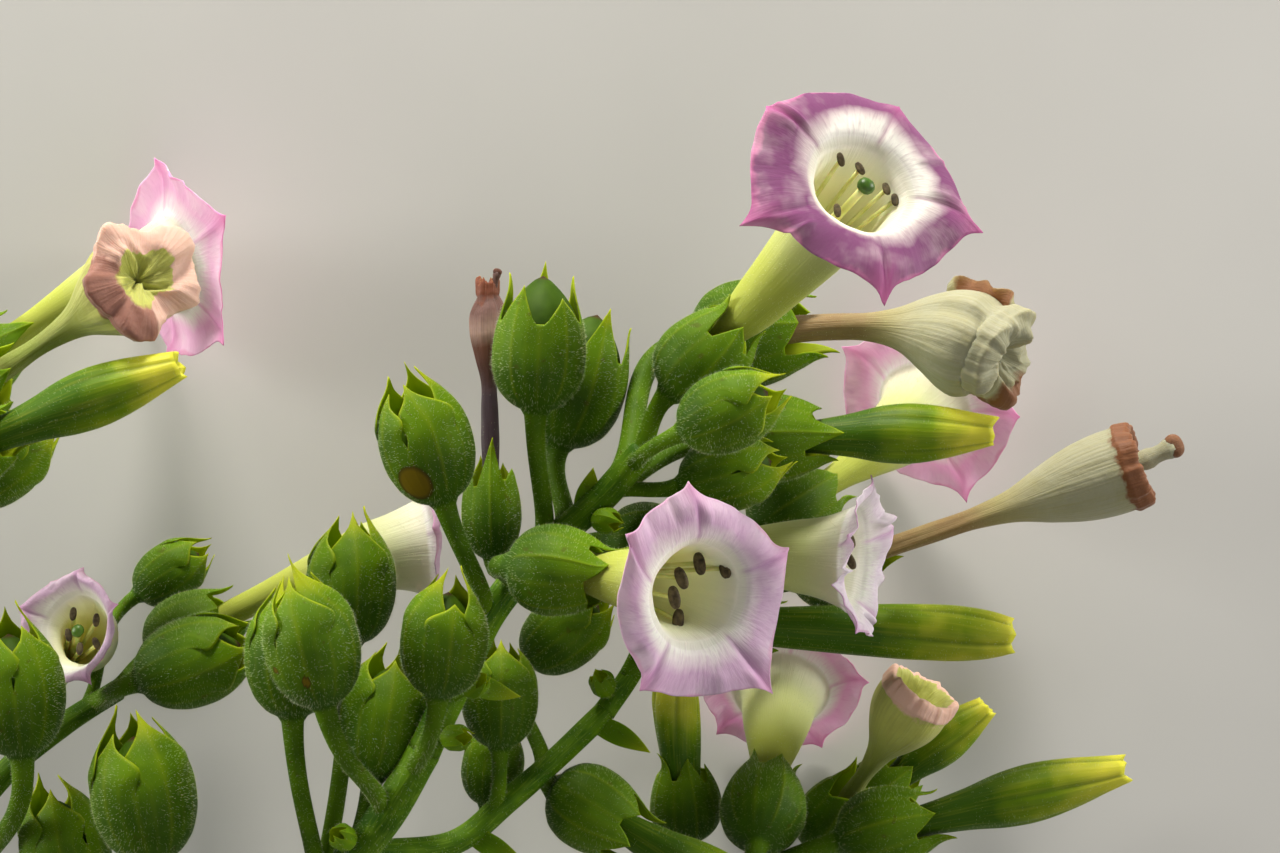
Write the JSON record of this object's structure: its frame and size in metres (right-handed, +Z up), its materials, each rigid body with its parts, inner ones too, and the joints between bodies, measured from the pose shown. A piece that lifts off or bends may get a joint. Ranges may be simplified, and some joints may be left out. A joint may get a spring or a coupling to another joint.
{
  "type": "tobacco flower head",
  "caption": "Cut flower head of a tobacco plant lying on its back: a leaning branched stem with trumpet flowers, buds, withered flowers and seed capsules in toothed calyces.",
  "frame": {"origin": "on the ground, under the middle of the head's box", "axes": "+Z up from the ground, +Y from the cut towards the top of the head, +X to the right of someone who looks straight down on it"},
  "size_m": [0.1837, 0.181, 0.0793],
  "materials": {
    "stem": "soft green stem, finely haired",
    "calyx": "soft leaf, satin, finely haired",
    "petal": "satin petal, pink rim and pale throat",
    "bud": "satin, yellow-green, finely haired",
    "withered": "dry, papery, cream with a brown rim"
  },
  "bodies": {
    "root": {"stalk": "stem", "lower_axis": "stem", "upper_axis": "stem", "right_branch": "stem", "right_branch_end": "stem", "back_branch": "stem", "left_branch": "stem", "left_branch_end": "stem", "far_left_branch": "stem", "flower_1_calyx": "calyx", "flower_1_corolla": "petal", "flower_2_calyx": "calyx", "flower_2_corolla": "petal", "flower_3_calyx": "calyx", "flower_3_corolla": "petal", "flower_4_calyx": "calyx", "flower_4_corolla": "petal", "flower_5_calyx": "calyx", "flower_5_corolla": "petal", "flower_6_calyx": "calyx", "flower_6_corolla": "petal", "flower_7_calyx": "calyx", "flower_7_corolla": "petal", "flower_8_calyx": "calyx", "flower_8_corolla": "petal", "withered_1": "withered", "withered_2": "withered", "withered_3": "withered", "withered_4": "withered", "withered_5": "withered", "bud_1": "bud", "bud_2": "bud", "bud_3": "bud", "bud_4": "bud", "bud_5": "bud", "bud_6": "bud", "bud_7": "bud", "capsule_1": "calyx", "capsule_2": "calyx", "capsule_3": "calyx", "capsule_4": "calyx", "capsule_5": "calyx", "capsule_6": "calyx", "capsule_7": "calyx", "capsule_8": "calyx", "capsule_9": "calyx", "capsule_10": "calyx", "capsule_11": "calyx", "capsule_12": "calyx", "capsule_13": "calyx", "capsule_14": "calyx", "capsule_15": "calyx", "capsule_16": "calyx", "capsule_17": "calyx", "capsule_18": "calyx", "capsule_19": "calyx"}
  },
  "joints": []
}
